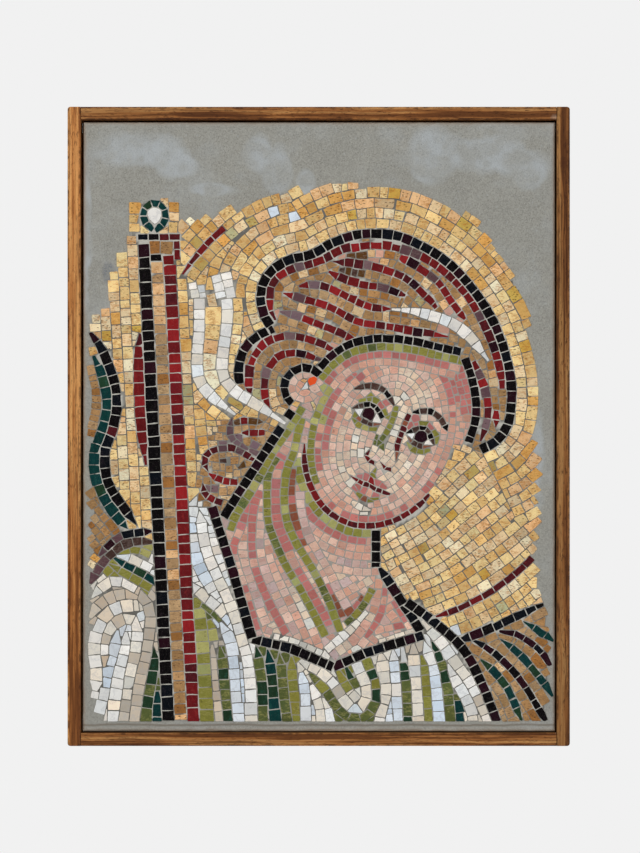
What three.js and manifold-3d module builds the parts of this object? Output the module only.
// A framed mosaic panel: cut stone and glass tesserae set in a cement slab that sits in a plain wooden frame.
//
// The picture shows a haloed, winged figure with a staff, in the Byzantine manner. Millimetres. The panel
// stands upright, +Z up, its face towards -Y and its back in the plane Y = 0. The origin is the middle of the
// top rail's back, where the panel is fixed to a wall.
//
// Points of the picture are given as [across, up] from the panel's lower left corner. Every tessera group is
// one solid: its rows are parted by V joints, and the outlines and the staff, where single stones read most,
// also have a joint between each stone and the next.

import * as THREE from "three";
import { mergeVertices } from "three/addons/utils/BufferGeometryUtils.js";
import Module from "manifold-3d";

const wasm = await Module();
wasm.setup();
const { Manifold } = wasm;

// ---- driving dimensions ----
const PANEL_WIDTH = 422;
const PANEL_HEIGHT = 537;
const PANEL_DEPTH = 28;
const RAIL_FACE = 11;
const RAIL_ARRIS = 0.8;
const LEDGE_REACH = 9; // how far the ledge behind the slab stands in from a rail
const LEDGE_THICKNESS = 5;
const FIT_GAP = 0.3; // between pieces that touch

const SLAB_INSETS = { left: 12.6, leftTop: 13.4, right: 12.2, bottom: 12.1, top: 12.8 };
const SLAB_SETBACK = 3; // of the cement's face behind the frame's front
const SLAB_ARRIS = 1.4;

const STONE_THICKNESS = 5;
const STONE_PROUD = 0.6; // of the stones' faces in front of the cement
const JOINT = 1.1; // width of the grout between stones
const JOINT_DEPTH = 1.3;
const STONE_LENGTH = 10.6; // along a row

const FOOT = 22; // height of the picture's lower edge above the panel's

const SLAB_BACK = LEDGE_THICKNESS + FIT_GAP;
const SLAB_FACE = PANEL_DEPTH - SLAB_SETBACK;
const STONE_FACE = SLAB_FACE + STONE_PROUD;
const STONE_BACK = STONE_FACE - STONE_THICKNESS;
const ABOVE = 1; // how far a cutter reaches past the surface it cuts
const FINEST = 0.12; // smaller steps are smoothed away

// ---- materials ----
const WOOD = { color: 0x8a5a33, roughness: 0.6 };
const CEMENT = { color: 0x9c9b92, roughness: 0.95 };
const GOLD_STONE = { color: 0xdcb472, roughness: 0.6 };
const TAN_STONE = { color: 0xb28a57, roughness: 0.7 };
const BLACK_GLASS = { color: 0x14141a, roughness: 0.3 };
const RED_GLASS = { color: 0x7a2226, roughness: 0.3 };
const GREEN_GLASS = { color: 0x123a37, roughness: 0.3 };
const WHITE_MARBLE = { color: 0xe4e2de, roughness: 0.5 };
const BROWN_STONE = { color: 0x5c4a44, roughness: 0.6 };
const PINK_STONE = { color: 0xd7a795, roughness: 0.6 };
const OLIVE_STONE = { color: 0x8f8d45, roughness: 0.6 };

// ---- outlines and solids ----
const rad = THREE.MathUtils.degToRad;
const vectors = (points) => points.map(([u, v]) => new THREE.Vector2(u, v));
const smooth = (points, steps) => new THREE.SplineCurve(vectors(points)).getPoints(steps);

// Points on an ellipse turned by tilt, from one angle to another, in degrees.
function arc([u, v], [across, up], from, to, steps, tilt = 0) {
  const curve = new THREE.EllipseCurve(u, v, across, up, rad(from), rad(to), to < from, rad(tilt));
  return curve.getPoints(steps);
}

// The unit normal to the left of each point of a path.
function normals(path) {
  return path.map((_, i) => {
    const ahead = path[Math.min(i + 1, path.length - 1)];
    const behind = path[Math.max(i - 1, 0)];
    const along = ahead.clone().sub(behind).normalize();
    return new THREE.Vector2(-along.y, along.x);
  });
}

// A path moved sideways: a positive distance is to its left.
function beside(path, distance) {
  const sideways = normals(path);
  return path.map((p, i) => p.clone().addScaledVector(sideways[i], distance));
}

// count - 1 paths that part the space between two paths into count rows.
function between(first, second, count) {
  const parts = [];
  for (let k = 1; k < count; k++) parts.push(first.map((p, i) => p.clone().lerp(second[i], k / count)));
  return parts;
}

// The outline of a row of stones along a path. taper gives the shares of its length over which it narrows.
function rowOutline(path, width, taper = [0, 0]) {
  const sideways = normals(path);
  const last = path.length - 1;
  const half = path.map((_, i) => {
    const share = i / last;
    const start = taper[0] ? Math.min(1, share / taper[0]) : 1;
    const end = taper[1] ? Math.min(1, (1 - share) / taper[1]) : 1;
    return (width / 2) * Math.max(0.16, Math.min(start, end));
  });
  const left = path.map((p, i) => p.clone().addScaledVector(sideways[i], half[i]));
  const right = path.map((p, i) => p.clone().addScaledVector(sideways[i], -half[i]));
  return [...right, ...left.reverse()];
}

// An outline with every side moved outwards.
function grown(outline, distance) {
  const sign = THREE.ShapeUtils.area(outline) > 0 ? 1 : -1;
  const count = outline.length;
  const outward = outline.map((p, i) => {
    const along = outline[(i + 1) % count].clone().sub(p).normalize();
    return new THREE.Vector2(along.y, -along.x).multiplyScalar(sign);
  });
  return outline.map((p, i) => {
    const before = outward[(i + count - 1) % count];
    const mitre = Math.max(0.3, 1 + before.dot(outward[i]));
    return p.clone().addScaledVector(before.clone().add(outward[i]), distance / mitre);
  });
}

function solidOf(geometry) {
  const bare = new THREE.BufferGeometry().setAttribute("position", geometry.getAttribute("position"));
  if (geometry.index) bare.setIndex(geometry.index);
  const merged = mergeVertices(bare, 1e-4);
  return new Manifold(
    new wasm.Mesh({
      numProp: 3,
      vertProperties: new Float32Array(merged.attributes.position.array),
      triVerts: new Uint32Array(merged.index.array),
    }),
  );
}

function prism(outline, from, to) {
  const shape = new THREE.Shape(outline);
  const geometry = new THREE.ExtrudeGeometry(shape, { depth: to - from, bevelEnabled: false });
  return solidOf(geometry.translate(0, 0, from));
}

// A V-shaped joint along a path, sunk from the stones' faces.
function joint(path) {
  const sideways = normals(path);
  const rise = 1 + ABOVE / JOINT_DEPTH;
  const corners = [];
  path.forEach((p, i) => {
    const reach = (JOINT / 2) * rise;
    const left = p.clone().addScaledVector(sideways[i], reach);
    const right = p.clone().addScaledVector(sideways[i], -reach);
    corners.push(left.x, left.y, STONE_FACE + ABOVE);
    corners.push(right.x, right.y, STONE_FACE + ABOVE);
    corners.push(p.x, p.y, STONE_FACE - JOINT_DEPTH);
  });
  const last = 3 * (path.length - 1);
  const faces = [0, 2, 1, last, last + 1, last + 2];
  for (let a = 0; a < last; a += 3) {
    for (let k = 0; k < 3; k++) {
      const here = a + k;
      const next = a + ((k + 1) % 3);
      faces.push(here, next, here + 3, next, next + 3, here + 3);
    }
  }
  const geometry = new THREE.BufferGeometry();
  geometry.setAttribute("position", new THREE.Float32BufferAttribute(corners, 3)).setIndex(faces);
  return solidOf(geometry);
}

// A path with a point at every joint between two stones.
function eachStone(path) {
  const line = new THREE.SplineCurve(path);
  return line.getSpacedPoints(Math.round(line.getLength() / STONE_LENGTH));
}

// Joints across a row, at every inner point of its path.
function crossJoints(path, width) {
  const sideways = normals(path);
  return path.slice(1, -1).map((p, i) => {
    const side = sideways[i + 1].clone().multiplyScalar(width / 2 + JOINT);
    return joint([p.clone().sub(side), p.clone().add(side)]);
  });
}

const stones = (outline) => prism(outline, STONE_BACK, STONE_FACE);
const room = (outline) => prism(outline, STONE_BACK - FIT_GAP, STONE_FACE + ABOVE);
const largest = (solid) => solid.decompose().sort((a, b) => b.volume() - a.volume())[0];

// ---- the picture's pieces ----
const picture = [];
let taken = null; // the room of every piece laid so far

// Lays one group of stones, cut back from the groups laid before it.
function lay(name, finish, solid, space) {
  const cut = taken ? solid.subtract(taken) : solid;
  const tidy = largest(cut.asOriginal().simplify(FINEST));
  picture.push({ name, finish, solid: tidy });
  taken = taken ? taken.add(space) : space;
}

// A single row of stones along a path.
function row(name, finish, path, width, { taper, single = false } = {}) {
  const line = eachStone(path);
  const bends = single && path.length > 2 ? line : path;
  let solid = stones(rowOutline(bends, width, taper));
  if (single) solid = solid.subtract(Manifold.union(crossJoints(line, width)));
  lay(name, finish, solid, room(grown(rowOutline(path, width, taper), JOINT)));
}

// Several rows that meet, laid as one group.
function rows(name, finish, paths, width) {
  const lines = paths.map(eachStone);
  const outlines = paths.map((path) => rowOutline(path, width));
  const joints = lines.flatMap((line) => crossJoints(line, width));
  const solid = Manifold.union(outlines.map(stones)).subtract(Manifold.union(joints));
  lay(name, finish, solid, Manifold.union(outlines.map((outline) => room(grown(outline, JOINT)))));
}

// An area of stones whose rows are parted by joints.
function area(name, finish, outline, joints = []) {
  let solid = stones(outline);
  if (joints.length) solid = solid.subtract(Manifold.union(joints.map(joint)));
  lay(name, finish, solid, room(grown(outline, JOINT)));
}

// The staff: three straight rows side by side, a short red row beside them, a cap and a jewel in a ring.
const STAFF_TOP = [74.3, 422];
const STAFF_FOOT = [95.2, FOOT];
const STAFF_PITCH = 10.6;
const STAFF_ROW = 9.4;

function staffLine(place) {
  const shift = place * STAFF_PITCH;
  return vectors([
    [STAFF_TOP[0] + shift, STAFF_TOP[1]],
    [STAFF_FOOT[0] + shift, STAFF_FOOT[1]],
  ]);
}

function layStaff() {
  row("staff_dark_row", BLACK_GLASS, staffLine(-1), STAFF_ROW, { single: true });
  row("staff_ochre_row", TAN_STONE, staffLine(0), STAFF_ROW);
  row("staff_red_row", RED_GLASS, staffLine(1), STAFF_ROW, { single: true });
  const cap = vectors([
    [58.5, 427.3],
    [94.5, 427.3],
  ]);
  row("staff_cap", RED_GLASS, cap, 6, { single: true });
  row("staff_side_row", RED_GLASS, smooth([[60.8, 347], [59.8, 318], [60.8, 280], [65.5, 236]], 8), 8.5, {
    taper: [0.25, 0.25],
  });
  const drop = new THREE.Shape();
  drop.moveTo(72.8, 435);
  drop.bezierCurveTo(76.5, 441, 80, 445, 78.2, 450);
  drop.bezierCurveTo(75.6, 452.2, 70, 452.2, 67.4, 450);
  drop.bezierCurveTo(65.6, 445, 69, 441, 72.8, 435);
  const jewel = drop.getPoints(3).slice(0, -1);
  lay("staff_jewel", WHITE_MARBLE, stones(jewel), room(grown(jewel, FIT_GAP)));
  const outer = arc([72.8, 444.4], [12, 13.8], 0, 360, 14).slice(0, -1);
  const ring = stones(outer).subtract(room(grown(jewel, JOINT)));
  lay("staff_jewel_ring", GREEN_GLASS, ring, room(grown(outer, JOINT)));
}

// The left wing's edge: a dark row and a green row in a double bend, with tan stones behind them.
const LEFT_WING_DARK = [
  [19, 349], [29, 333], [38, 310], [41.5, 290], [36, 262], [31, 240], [34, 222], [45, 202], [60, 184],
];
const LEFT_WING_GREEN = [
  [21, 329], [28, 312], [33, 292], [28, 265], [23.5, 240], [26, 220], [35, 204], [50, 182],
];
const LEFT_WING_UPPER = [[17, 322], [24, 314], [30, 292], [24, 262], [17, 258]];
const LEFT_WING_LOWER = [[17, 212], [23, 219], [34, 203], [46, 187], [40, 175], [28, 165], [19, 168]];
const SHOULDER_DARK = [[26, 159], [36, 170], [46, 177], [58, 179], [73, 181]];
const SHOULDER_BROWN = [[21, 138], [28, 152], [38, 163], [50, 169.5], [61, 172], [74, 171]];

function layLeftWing() {
  row("left_wing_dark_row", BLACK_GLASS, smooth(LEFT_WING_DARK, 14), 8, { taper: [0.12, 0] });
  row("left_wing_green_row", GREEN_GLASS, smooth(LEFT_WING_GREEN, 12), 7, { taper: [0.1, 0.15] });
  row("shoulder_dark_row", BLACK_GLASS, smooth(SHOULDER_DARK, 5), 7, { taper: [0.3, 0] });
  row("shoulder_brown_row", BROWN_STONE, smooth(SHOULDER_BROWN, 6), 7.5, { taper: [0.3, 0] });
  area("left_wing_upper_stones", TAN_STONE, vectors(LEFT_WING_UPPER));
  area("left_wing_lower_stones", TAN_STONE, vectors(LEFT_WING_LOWER));
}

// The halo's dark line, seen on both sides of the figure as two stretches of one circle.
const HALO_CENTRE = [254, 290];
const HALO_RADIUS = 190;

function haloArc(from, to, steps, outside = 0) {
  const radius = HALO_RADIUS + outside;
  return arc(HALO_CENTRE, [radius, radius], from, to, steps);
}

function layHalo() {
  row("halo_line_upper", RED_GLASS, haloArc(146, 130, 3), 5.6, { single: true });
  row("halo_line_lower", RED_GLASS, haloArc(287, 316, 5), 5.6, { single: true });
}

// Two white ribbon ends that fly out behind the head.
const RIBBON_LEFT = [[110, 390], [110.5, 352], [109, 314], [118, 297], [141, 278]];
const RIBBON_RIGHT = [[132, 397], [134.5, 362], [130, 316], [140, 299], [160, 286], [183, 271]];

function layRibbons() {
  row("ribbon_left", WHITE_MARBLE, smooth(RIBBON_LEFT, 10), 9.5, { taper: [0, 0.2] });
  row("ribbon_right", WHITE_MARBLE, smooth(RIBBON_RIGHT, 12), 9.5, { taper: [0, 0.2] });
}

// The dark outlines of the hair, ear, neck, collar and shoulder.
const HAIR_LOBE = [[146, 296], [143.5, 315], [148, 333], [159, 344], [173, 351]];
const HAIR_OUTLINE = [
  [167, 359], [162, 380], [169, 397], [185, 408], [205, 413], [223, 423], [247, 430], [275, 429], [300, 419],
  [323, 403], [341, 383], [356, 360], [366, 336], [372, 312], [373, 290], [370, 270], [360, 256], [347, 249],
];
const HAIRLINE = [[212, 318], [222, 328], [238, 338], [262, 342.5], [290, 340], [312, 335], [331, 331]];
const TEMPLE = [[334, 326], [340, 308], [343.5, 288], [342, 270], [337, 255]];
const EAR_CENTRE = [199, 301];
const EAR_RADIUS = 17;
const earArc = (steps) => arc(EAR_CENTRE, [EAR_RADIUS, EAR_RADIUS], 40, 232, steps);
const NECK_LINE = [[189, 282], [160, 238], [131, 192]];
const COLLAR_LEFT = [[121, 201], [136, 156], [146, 121], [155, 90]];
const COLLAR_FRONT = [[155, 90], [190, 81], [223, 66]];
const COLLAR_RIGHT = [[223, 66], [250, 78], [299, 93]];
const NECK_RIGHT = [[259, 181], [259, 150]];
const THROAT_LINE = [[263, 147], [281, 121], [299, 93]];
const SHOULDER_LINE = [[285, 121], [308, 104], [331, 83], [347, 55], [361, FOOT]];
const LINE_WIDTH = 7.5;

function layOutlines() {
  row("hair_lobe_outline", BLACK_GLASS, smooth(HAIR_LOBE, 7), LINE_WIDTH, { single: true });
  row("hair_outline", BLACK_GLASS, smooth(HAIR_OUTLINE, 26), LINE_WIDTH, { single: true });
  row("hairline", BLACK_GLASS, smooth(HAIRLINE, 9), 6.5, { single: true });
  row("temple_line", BLACK_GLASS, smooth(TEMPLE, 6), 7, { single: true });
  row("ear_outline", BLACK_GLASS, earArc(10), 6.5, { single: true });
  row("neck_line", BLACK_GLASS, vectors(NECK_LINE), LINE_WIDTH, { single: true });
  const collar = [COLLAR_LEFT, COLLAR_FRONT, COLLAR_RIGHT].map(vectors);
  rows("collar_line", BLACK_GLASS, collar, LINE_WIDTH);
  row("neck_right_line", BLACK_GLASS, vectors(NECK_RIGHT), 7, { single: true });
  row("throat_line", BLACK_GLASS, vectors(THROAT_LINE), 8, { single: true });
  row("right_shoulder_line", BLACK_GLASS, smooth(SHOULDER_LINE, 8), 8, { single: true });
}

// The face, on an oval that leans to the right: a third each for brow, nose and chin.
const FACE_CENTRE = [264, 262];
const FACE_HALF = [62, 80];
const FACE_LEAN = -24;
const MIDLINE = 9; // how far the middle of the features lies to the right of the oval's

// A point of the face from shares of its half width, taken from the midline, and of its half height.
function onFace(across, up) {
  const x = MIDLINE + across * FACE_HALF[0];
  const y = up * FACE_HALF[1];
  const turn = rad(FACE_LEAN);
  return [
    FACE_CENTRE[0] + x * Math.cos(turn) - y * Math.sin(turn),
    FACE_CENTRE[1] + x * Math.sin(turn) + y * Math.cos(turn),
  ];
}

const faceArc = (from, to, steps, share = 1) =>
  arc(FACE_CENTRE, [FACE_HALF[0] * share, FACE_HALF[1] * share], from, to, steps, FACE_LEAN);

const BROW_HEIGHT = 0.36;
const EYE_HEIGHT = 0.16;
const EYE_APART = 0.42; // from the midline to the middle of an eye
const NOSE_FOOT = -0.3;
const MOUTH_HEIGHT = -0.54;

function layFeatures() {
  row("jaw_line", RED_GLASS, faceArc(192, 338, 11), 5);
  for (const [side, name] of [[-1, "left"], [1, "right"]]) {
    const reach = side < 0 ? 1 : 0.86;
    const spot = onFace(side * EYE_APART * reach, EYE_HEIGHT);
    const pupil = arc(spot, [5.4, 5.4], 0, 360, 8).slice(0, -1);
    area("eye_" + name, BLACK_GLASS, pupil);
    const brow = [
      onFace(side * 0.13, BROW_HEIGHT - 0.03),
      onFace(side * 0.42 * reach, BROW_HEIGHT + 0.07),
      onFace(side * 0.72 * reach, BROW_HEIGHT - 0.02),
    ];
    row("brow_" + name, BROWN_STONE, smooth(brow, 4), 4.6);
  }
  const ridge = [onFace(0.13, BROW_HEIGHT - 0.1), onFace(0.1, 0), onFace(0.2, NOSE_FOOT)];
  row("nose_line", RED_GLASS, smooth(ridge, 4), 4.6);
  row("mouth", RED_GLASS, vectors([onFace(-0.2, MOUTH_HEIGHT), onFace(0.2, MOUTH_HEIGHT)]), 4.6);
}

// The hair: dark strands swept back under a white band, with tan stones between them.
const STRAND = 7.2; // width of a dark strand
const FILLET = [[274, 367], [297, 363], [320, 354], [338, 341], [356, 322]];
const STRANDS = [
  [
    [173, 368], [176, 389], [192, 401], [216, 408], [240, 419], [270, 420],
    [298, 409], [322, 391], [341, 368], [355, 340], [364, 308],
  ],
  [[216, 402], [244, 408], [272, 403], [297, 391], [317, 373], [331, 354]],
  [[192, 395], [220, 395], [248, 392], [272, 385], [290, 374]],
  [[183, 386], [208, 388], [232, 381], [252, 373], [272, 368]],
  [[176, 378], [200, 373], [226, 365], [250, 357], [278, 354], [304, 350], [322, 345]],
  [[176, 362], [198, 358], [220, 351], [244, 344]],
];
const SIDE_STRANDS = [
  [[154, 298], [153, 318], [162, 335], [184, 345], [208, 342], [228, 333]],
  [[168, 292], [166, 310], [175, 326], [193, 332], [212, 326]],
  [[337, 334], [348, 312], [354, 290], [352, 268]],
];

function layHair() {
  row("hair_band", WHITE_MARBLE, smooth(FILLET, 8), 9, { taper: [0.3, 0.25] });
  const outline = [
    ...smooth(HAIR_LOBE, 7),
    ...smooth(HAIR_OUTLINE, 26),
    ...smooth(TEMPLE, 5).reverse(),
    ...smooth(HAIRLINE, 7).reverse(),
    ...earArc(6),
    ...vectors([[182, 276], [162, 288]]),
  ];
  const joints = [...STRANDS, ...SIDE_STRANDS].map((points) => smooth(points, points.length));
  area("hair", TAN_STONE, outline, [...joints, ...joints.slice(0, 4).map((path) => beside(path, STRAND))]);
}

function layHead() {
  area("ear", PINK_STONE, arc(EAR_CENTRE, [13, 13], 0, 360, 12).slice(0, -1));
  const outline = [
    ...smooth(HAIRLINE, 8),
    ...smooth(TEMPLE, 5),
    ...faceArc(372, 180, 14).filter((p) => p.y < 290),
    ...vectors([[203, 302]]),
  ];
  area("face", PINK_STONE, outline, [0.84, 0.66].map((share) => faceArc(160, 380, 11, share)));
}

// The nape: curled locks behind the neck.
const NAPE = [
  [118, 250], [126, 268], [148, 276], [172, 268], [156, 232], [138, 205], [118, 208], [112, 222], [118, 236],
];

function layNape() {
  const outline = smooth([...NAPE, NAPE[0]], 18);
  area("nape_curls", BROWN_STONE, outline.slice(0, -1), [
    arc([138, 243], [13, 13], 40, 300, 6),
    arc([130, 222], [10, 10], 20, 300, 5),
    arc([154, 262], [8, 8], 0, 300, 5),
  ]);
}

// The neck: bands that run down from the ear and jaw and open towards the collar.
const NECK_LEFT_GUIDE = [[186, 272], [160, 230], [137, 192], [133, 170], [146, 132], [158, 95]];
const NECK_INNER_GUIDE = [[205, 262], [206, 222], [216, 180], [222, 140], [226, 105], [224, 74]];
const NECK_ROWS = 7;

function layNeck() {
  const outline = vectors([
    [189, 282], [206, 296], [232, 230], [259, 196], [259, 150], [263, 147], [281, 121], [299, 93], [250, 78],
    [223, 66], [190, 81], [155, 90], [146, 121], [136, 156], [127, 184], [131, 192], [160, 238],
  ]);
  const left = smooth(NECK_LEFT_GUIDE, 5);
  const inner = smooth(NECK_INNER_GUIDE, 5);
  const bands = between(left, inner, NECK_ROWS);
  area("neck_shade", OLIVE_STONE, [...bands[2], ...bands[4].slice().reverse()], [bands[3]]);
  const throat = [
    vectors([[232, 100], [252, 128], [262, 143]]),
    vectors([[232, 84], [262, 108], [274, 128]]),
    smooth([[214, 168], [236, 162], [256, 168]], 4),
    smooth([[214, 158], [236, 152], [256, 158]], 4),
  ];
  area("neck_left", PINK_STONE, [...beside(left, -8).reverse(), ...bands[2]], bands.slice(0, 2));
  area("neck", PINK_STONE, outline, [...bands.slice(4), ...throat]);
}

// The robe: white stones over the left shoulder, folds of green, white and pale blue below the collar.
function layRobe() {
  const sleeve = vectors([
    [22, 140], [29, 152], [39, 163], [52, 169], [77, 170],
    [86, FOOT], [34, FOOT], [24, 44], [19, 90], [20, 112],
  ]);
  const cuff = smooth([[21, 50], [20, 95], [30, 124], [48, 134], [66, 122], [70, 90], [64, FOOT]], 8);
  const core = smooth([[42, 24], [42, 60], [44, 84], [48, 92], [52, 84], [52, 60], [51, 24]], 8);
  area("sleeve", WHITE_MARBLE, sleeve, [cuff, ...between(cuff, core, 3)]);

  const left = vectors([
    [99, 204], [136, 217], [129, 203], [121, 201], [136, 156],
    [146, 121], [155, 90], [164, 86], [161, FOOT], [107, FOOT],
  ]);
  const along = smooth([[104, 198], [108, 150], [110, 100], [112, FOOT]], 5);
  const across = smooth([[122, 196], [138, 150], [152, 90], [161, FOOT]], 5);
  area("robe_left", WHITE_MARBLE, left, between(along, across, 5));

  const front = vectors([
    [155, 90], [190, 81], [223, 66], [250, 78], [299, 93], [285, 121],
    [308, 104], [331, 83], [347, 55], [361, FOOT], [161, FOOT],
  ]);
  const folds = [168, 176, 185, 194].map((u) => vectors([[u - 4, 92], [u, FOOT]]));
  const outer = [[203, 76], [219, 44], [238, 29], [255, 44], [258, 80]];
  const inner = [[221, 76], [233, 56], [238, 45], [243, 52], [242, 80]];
  const loops = [smooth(outer, 5), ...between(smooth(outer, 5), smooth(inner, 5), 2), smooth(inner, 5)];
  const right = [0, 1, 2, 3, 4, 5, 6].map((k) => vectors([[262 + 8.7 * k, 98], [266 + 10 * k, FOOT]]));
  const edge = [beside(smooth(SHOULDER_LINE, 5), -13), beside(smooth(SHOULDER_LINE, 5), -22)];
  area("robe_front", WHITE_MARBLE, front, [...folds, ...loops, ...right, ...edge]);
}

// The right wing: a dark leading edge over long tan feathers with dark and green quills.
const WING_EDGE = [[330, 88], [353, 97], [377, 108.5], [398, 118.5]];
const QUILLS = [
  [[349, 71], [366, 52], [381, FOOT]],
  [[342, 88], [367, 70], [401, 24]],
  [[364, 89], [388, 68], [405, 43]],
  [[366, 97], [388, 87], [404, 69]],
];

function layRightWing() {
  row("right_wing_edge", BLACK_GLASS, smooth(WING_EDGE, 4), 7, { taper: [0, 0.2] });
  const outline = vectors([
    [331, 87], [362, 100], [398, 118], [406, 92], [405, 60], [402, 30], [394, FOOT], [361, FOOT], [347, 55],
  ]);
  const quills = QUILLS.flatMap((points) => {
    const path = smooth(points, 2);
    return [beside(path, 3.5), beside(path, -3.5)];
  });
  area("right_wing", TAN_STONE, outline, quills);
}

// The gold ground, in four areas, with rows that follow the staff, the halo and the outline of the hair.
const GOLD_ROW = 8.6;
const LEFT_GROUND = [
  [54, 456], [66, 456], [66, 400], [80, 190], [56, 190], [44, 206], [34, 222],
  [31, 240], [36, 262], [42, 290], [38, 310], [29, 333], [19, 350], [22, 358],
  [36, 370], [36, 388], [43, 392], [43, 408], [52, 412], [52, 430],
];
const TOP_EDGE = [
  [92, 457], [93, 446], [108, 444], [122, 451], [140, 453], [160, 462], [182, 468], [212, 471], [243, 473],
];
const RIGHT_EDGE_GROUND = [
  [243, 468], [270, 470], [296, 468], [318, 461], [336, 452], [353, 437], [367, 419], [380, 402], [389, 385],
  [393, 360], [396, 335], [399, 300], [396, 272], [393, 258], [397, 238], [398, 200], [397, 168], [391, 154],
];

// Joints that follow the outline of the hair outwards, between two distances across the panel.
function roundHair(from, to, steps) {
  const rim = smooth(HAIR_OUTLINE, 40).filter((p) => p.x > from && p.x < to);
  const even = new THREE.SplineCurve(rim).getSpacedPoints(steps);
  return [1, 2, 3].map((k) => beside(even, LINE_WIDTH / 2 + JOINT + k * GOLD_ROW));
}

function layGround() {
  const columns = [1, 2, 3, 4].map((k) => beside(staffLine(-1), -(STAFF_ROW / 2 + JOINT + k * GOLD_ROW)));
  area("gold_ground_left", GOLD_STONE, vectors(LEFT_GROUND), columns);

  const centre = [
    ...vectors([[86, 430], [84, 456]]),
    ...vectors(TOP_EDGE),
    ...vectors([[243, 429], [223, 423], [205, 413], [185, 408]]),
    ...vectors([[169, 397], [162, 380], [167, 359], [173, 351]]),
    ...smooth(HAIR_LOBE, 7).reverse(),
    ...vectors([[183, 270], [131, 192], [121, 201], [99, 203], [95, 300], [88, 420]]),
  ];
  const inner = [1, 2].map((k) => beside(staffLine(1), STAFF_ROW / 2 + JOINT + k * GOLD_ROW));
  area("gold_ground_centre", GOLD_STONE, centre, [...roundHair(150, 255, 8), ...inner]);

  const right = [
    ...vectors([[247, 430], ...RIGHT_EDGE_GROUND]),
    ...haloArc(316, 287, 4),
    ...vectors([[285, 121], [263, 147], [259, 181]]),
    ...faceArc(272, 340, 6),
    ...vectors([[337, 249], [347, 249]]),
    ...smooth(HAIR_OUTLINE, 18).reverse().filter((p) => p.x > 250),
  ];
  const cheek = smooth([[262, 185], [298, 208], [332, 242], [400, 296]], 3);
  const halo = smooth([[270, 105], [311, 108], [352, 128], [400, 160]], 3);
  area("gold_ground_right", GOLD_STONE, right, [...roundHair(240, 400, 10), ...between(cheek, halo, 11)]);

  const below = [
    ...haloArc(287, 316, 4),
    ...vectors([[396, 145], [395, 118], [362, 100], [331, 87], [309, 104]]),
  ];
  const under = [1, 2].map((k) => haloArc(287, 318, 4, 3 + k * GOLD_ROW));
  area("gold_ground_below", GOLD_STONE, below, under);
}

// ---- the slab and the frame ----
function cementSlab() {
  const { left, leftTop, right, bottom, top } = SLAB_INSETS;
  const outline = vectors([
    [left, bottom],
    [PANEL_WIDTH - right, bottom],
    [PANEL_WIDTH - right, PANEL_HEIGHT - top],
    [leftTop, PANEL_HEIGHT - top],
  ]);
  const geometry = new THREE.ExtrudeGeometry(new THREE.Shape(outline), {
    depth: SLAB_FACE - SLAB_BACK - 2 * SLAB_ARRIS,
    bevelThickness: SLAB_ARRIS,
    bevelSize: SLAB_ARRIS,
    bevelOffset: -SLAB_ARRIS,
    bevelSegments: 1,
  });
  const slab = solidOf(geometry.translate(0, 0, SLAB_BACK + SLAB_ARRIS));
  return largest(slab.subtract(taken).asOriginal().simplify(FINEST));
}

// One member of the frame along the X axis: a strip on edge with a ledge behind the slab.
function frameMember(length, ledgeLength) {
  const strip = new THREE.Shape(
    vectors([
      [0, 0],
      [RAIL_FACE, 0],
      [RAIL_FACE, PANEL_DEPTH - RAIL_ARRIS],
      [RAIL_FACE - RAIL_ARRIS, PANEL_DEPTH],
      [RAIL_ARRIS, PANEL_DEPTH],
      [0, PANEL_DEPTH - RAIL_ARRIS],
    ]),
  );
  const ledge = new THREE.Shape(
    vectors([
      [RAIL_FACE - 1, 0],
      [RAIL_FACE + LEDGE_REACH, 0],
      [RAIL_FACE + LEDGE_REACH, LEDGE_THICKNESS],
      [RAIL_FACE - 1, LEDGE_THICKNESS],
    ]),
  );
  const bar = (shape, size) => {
    const geometry = new THREE.ExtrudeGeometry(shape, { depth: size, bevelEnabled: false });
    geometry.translate(0, 0, -size / 2);
    geometry.applyMatrix4(new THREE.Matrix4().set(0, 0, 1, 0, 1, 0, 0, 0, 0, 1, 0, 0, 0, 0, 0, 1));
    return solidOf(geometry);
  };
  return bar(strip, length).add(bar(ledge, ledgeLength));
}

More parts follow.
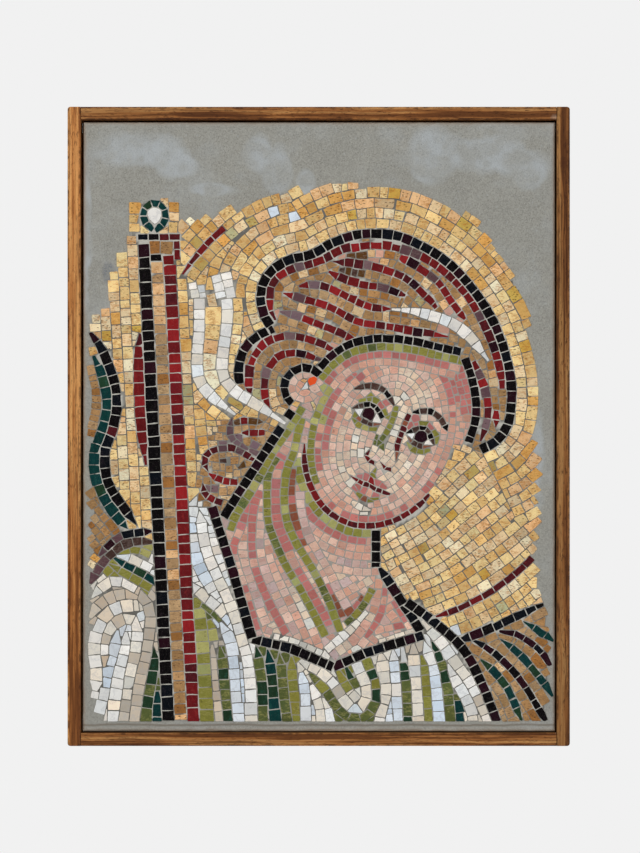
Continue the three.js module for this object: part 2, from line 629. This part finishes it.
function frameMembers() {
  const railLength = PANEL_WIDTH - 2 * (RAIL_FACE + FIT_GAP);
  const ledgeLength = PANEL_HEIGHT - 2 * (RAIL_FACE + LEDGE_REACH + FIT_GAP);
  const rail = frameMember(railLength, railLength);
  const stile = frameMember(PANEL_HEIGHT, ledgeLength);
  const middle = { u: PANEL_WIDTH / 2, v: PANEL_HEIGHT / 2 };
  return [
    { name: "frame_bottom_rail", solid: rail.translate([middle.u, 0, 0]) },
    { name: "frame_top_rail", solid: rail.rotate([0, 0, 180]).translate([middle.u, PANEL_HEIGHT, 0]) },
    { name: "frame_left_stile", solid: stile.rotate([0, 0, -90]).translate([0, middle.v, 0]) },
    { name: "frame_right_stile", solid: stile.rotate([0, 0, 90]).translate([PANEL_WIDTH, middle.v, 0]) },
  ];
}

// ---- the panel ----
function meshOf({ name, finish, solid }) {
  const { vertProperties, triVerts, numProp } = solid.getMesh();
  const geometry = new THREE.BufferGeometry();
  const corners = new Float32Array((vertProperties.length / numProp) * 3);
  for (let i = 0; i < corners.length / 3; i++) {
    corners.set(vertProperties.subarray(i * numProp, i * numProp + 3), i * 3);
  }
  geometry.setAttribute("position", new THREE.BufferAttribute(corners, 3));
  geometry.setIndex(new THREE.BufferAttribute(triVerts, 1));
  const mesh = new THREE.Mesh(geometry, new THREE.MeshStandardMaterial({ metalness: 0, ...finish }));
  mesh.name = name;
  return mesh;
}

layStaff();
layLeftWing();
layHalo();
layRibbons();
layOutlines();
layFeatures();
layHair();
layHead();
layNape();
layNeck();
layRobe();
layRightWing();
layGround();

const panel = new THREE.Group();
panel.name = "mosaic_panel";
panel.rotation.x = Math.PI / 2;
panel.position.set(-PANEL_WIDTH / 2, 0, -(PANEL_HEIGHT - RAIL_FACE / 2));
for (const piece of frameMembers()) panel.add(meshOf({ ...piece, finish: WOOD }));
panel.add(meshOf({ name: "cement_slab", finish: CEMENT, solid: cementSlab() }));
for (const piece of picture) panel.add(meshOf(piece));

const part = new THREE.Group();
part.add(panel);
export default part;
